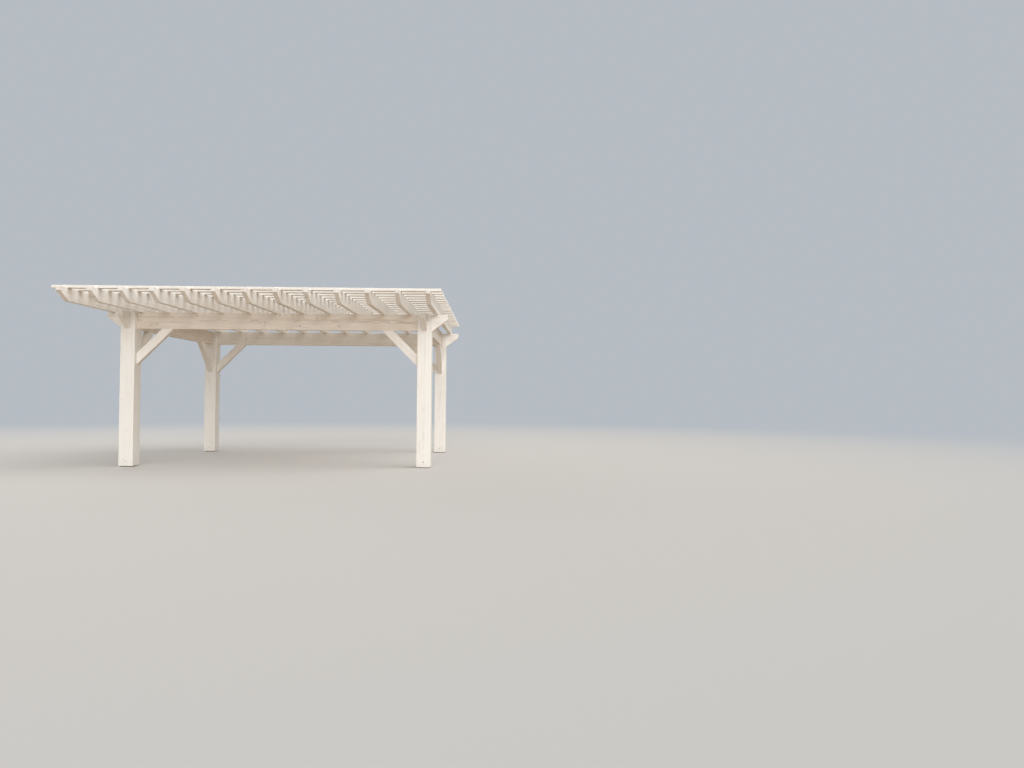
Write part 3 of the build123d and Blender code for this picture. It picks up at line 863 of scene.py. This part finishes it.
washer_head = [(WASHER_RADIUS, -0.0020), (WASHER_RADIUS, 0.0008), (WASHER_RADIUS * 0.9, 0.0016),
               (WASHER_RADIUS * 0.62, 0.0022), (WASHER_RADIUS * 0.55, 0.0070),
               (WASHER_RADIUS * 0.48, 0.0076), (WASHER_RADIUS * 0.26, 0.0076),
               (WASHER_RADIUS * 0.22, 0.0045)]
places = [(x + rng.uniform(-SCREW_STRAY, SCREW_STRAY), y + rng.uniform(-SCREW_STRAY, SCREW_STRAY),
           rafter_top) for x in rafter_lines for y in beam_lines]
screw_heads("rafter_screws", places, washer_head)


# FLOOR, LIGHT AND CAMERA
# A plain pale floor that fades into a plain pale backdrop, a white sky that brightens overhead
# and three broad soft lamps: a low one from the front, a higher one from the right and a weak
# low one from behind. The camera stands where the photograph was taken.

FLOOR = (0.620, 0.595, 0.560)         # as it is seen
FLOOR_RETURN = (0.470, 0.385, 0.295)  # as it sends light back to the timber
BACKDROP = (0.470, 0.505, 0.545)
SKY_LEVEL = 0.22           # at the horizon
SKY_OVERHEAD = 0.30        # added to it overhead
# name, level, then softness, height and turn to the right in degrees
LAMPS = (("front lamp", 2.00, 50.0, 12.0, 10.0), ("side lamp", 1.74, 60.0, 45.0, 70.0),
         ("back lamp", 0.60, 50.0, 15.0, 215.0))
FLOOR_RADIUS = 120.0
FLOOR_SIDES = 96
FADE_START, FADE_END = 7.0, 26.0   # where the floor begins and ends turning into backdrop
PHOTO_WIDTH = 1024
FOCAL_PIXELS = 724.37
CAMERA_PLACE = (3.8123, -13.7659, 1.1790)
CAMERA_YAW, CAMERA_PITCH, CAMERA_ROLL = 1.261, 1.264, 0.3867

turn = np.linspace(0, 2 * math.pi, FLOOR_SIDES, endpoint=False)
floor_edge = np.column_stack([FLOOR_RADIUS * np.cos(turn), FLOOR_RADIUS * np.sin(turn), 0 * turn])
floor_mesh = bpy.data.meshes.new("floor")
floor_mesh.from_pydata(floor_edge, [], [list(range(FLOOR_SIDES))])
floor = bpy.data.objects.new("floor", floor_mesh)
bpy.context.scene.collection.objects.link(floor)
floor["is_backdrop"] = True


def seen(tree):
    """1 for rays that show the background: straight from the camera, mirrored or let through."""
    rays = tree.nodes.new("ShaderNodeLightPath")
    shown = maths(tree, "MAXIMUM", rays.outputs["Is Camera Ray"], rays.outputs["Is Glossy Ray"])
    return maths(tree, "MAXIMUM", shown, rays.outputs["Is Transmission Ray"])


floor_paint, tree, shader = new_finish("pale floor")
place = step(tree, "ShaderNodeTexCoord", out=3)
distance = step(tree, "ShaderNodeVectorMath", (place,), out=1, operation="LENGTH")
away = maths(tree, "MULTIPLY", fade(tree, distance, FADE_START, FADE_END), seen(tree))
paint = blend(tree, seen(tree), (*FLOOR_RETURN, 1), (*FLOOR, 1))
tree.links.new(paint, shader.inputs["Base Color"])
shader.inputs["Roughness"].default_value = 0.9
shader.inputs["Specular IOR Level"].default_value = 0.2
glow = step(tree, "ShaderNodeEmission", ((*BACKDROP, 1), 1.0))
mixed = step(tree, "ShaderNodeMixShader", (away, shader.outputs[0], glow))
tree.links.new(mixed, tree.nodes["Material Output"].inputs["Surface"])
floor_mesh.materials.append(floor_paint)

world = bpy.data.worlds.new("studio")
bpy.context.scene.world = world
world.use_nodes = True
tree = world.node_tree
tree.nodes.clear()
direction = step(tree, "ShaderNodeTexCoord")
rise = step(tree, "ShaderNodeSeparateXYZ", (direction,), out=2)
level = maths(tree, "MULTIPLY_ADD", maths(tree, "MAXIMUM", rise, 0.0), SKY_OVERHEAD, SKY_LEVEL)
sky = step(tree, "ShaderNodeBackground", ((1.0, 1.0, 1.0, 1), level))
backdrop = step(tree, "ShaderNodeBackground", ((*BACKDROP, 1), 1.0))
mixed = step(tree, "ShaderNodeMixShader", (seen(tree), sky, backdrop))
step(tree, "ShaderNodeOutputWorld", (mixed,))

for name, level, softness, height, to_right in LAMPS:
    lamp_data = bpy.data.lights.new(name, "SUN")
    lamp_data.energy = level
    lamp_data.angle = math.radians(softness)
    lamp = bpy.data.objects.new(name, lamp_data)
    bpy.context.scene.collection.objects.link(lamp)
    lamp.rotation_euler = (math.radians(90 - height), 0, math.radians(to_right))

yaw, pitch, roll = (math.radians(angle) for angle in (CAMERA_YAW, CAMERA_PITCH, CAMERA_ROLL))
forward = Vector((math.sin(yaw) * math.cos(pitch), math.cos(yaw) * math.cos(pitch),
                  math.sin(pitch)))
right = Vector((math.cos(yaw), -math.sin(yaw), 0))
upward = right.cross(forward)
right, upward = (right * math.cos(roll) + upward * math.sin(roll),
                 upward * math.cos(roll) - right * math.sin(roll))
camera_data = bpy.data.cameras.new("camera")
camera_data.sensor_width = 36.0
camera_data.lens = FOCAL_PIXELS / PHOTO_WIDTH * camera_data.sensor_width
camera_data.clip_end = 500.0
camera = bpy.data.objects.new("camera", camera_data)
camera.matrix_world = Matrix((
    (right.x, upward.x, -forward.x, CAMERA_PLACE[0]),
    (right.y, upward.y, -forward.y, CAMERA_PLACE[1]),
    (right.z, upward.z, -forward.z, CAMERA_PLACE[2]),
    (0, 0, 0, 1),
))
bpy.context.scene.collection.objects.link(camera)
bpy.context.scene.camera = camera
bpy.context.scene.view_settings.view_transform = "Standard"

low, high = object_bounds()
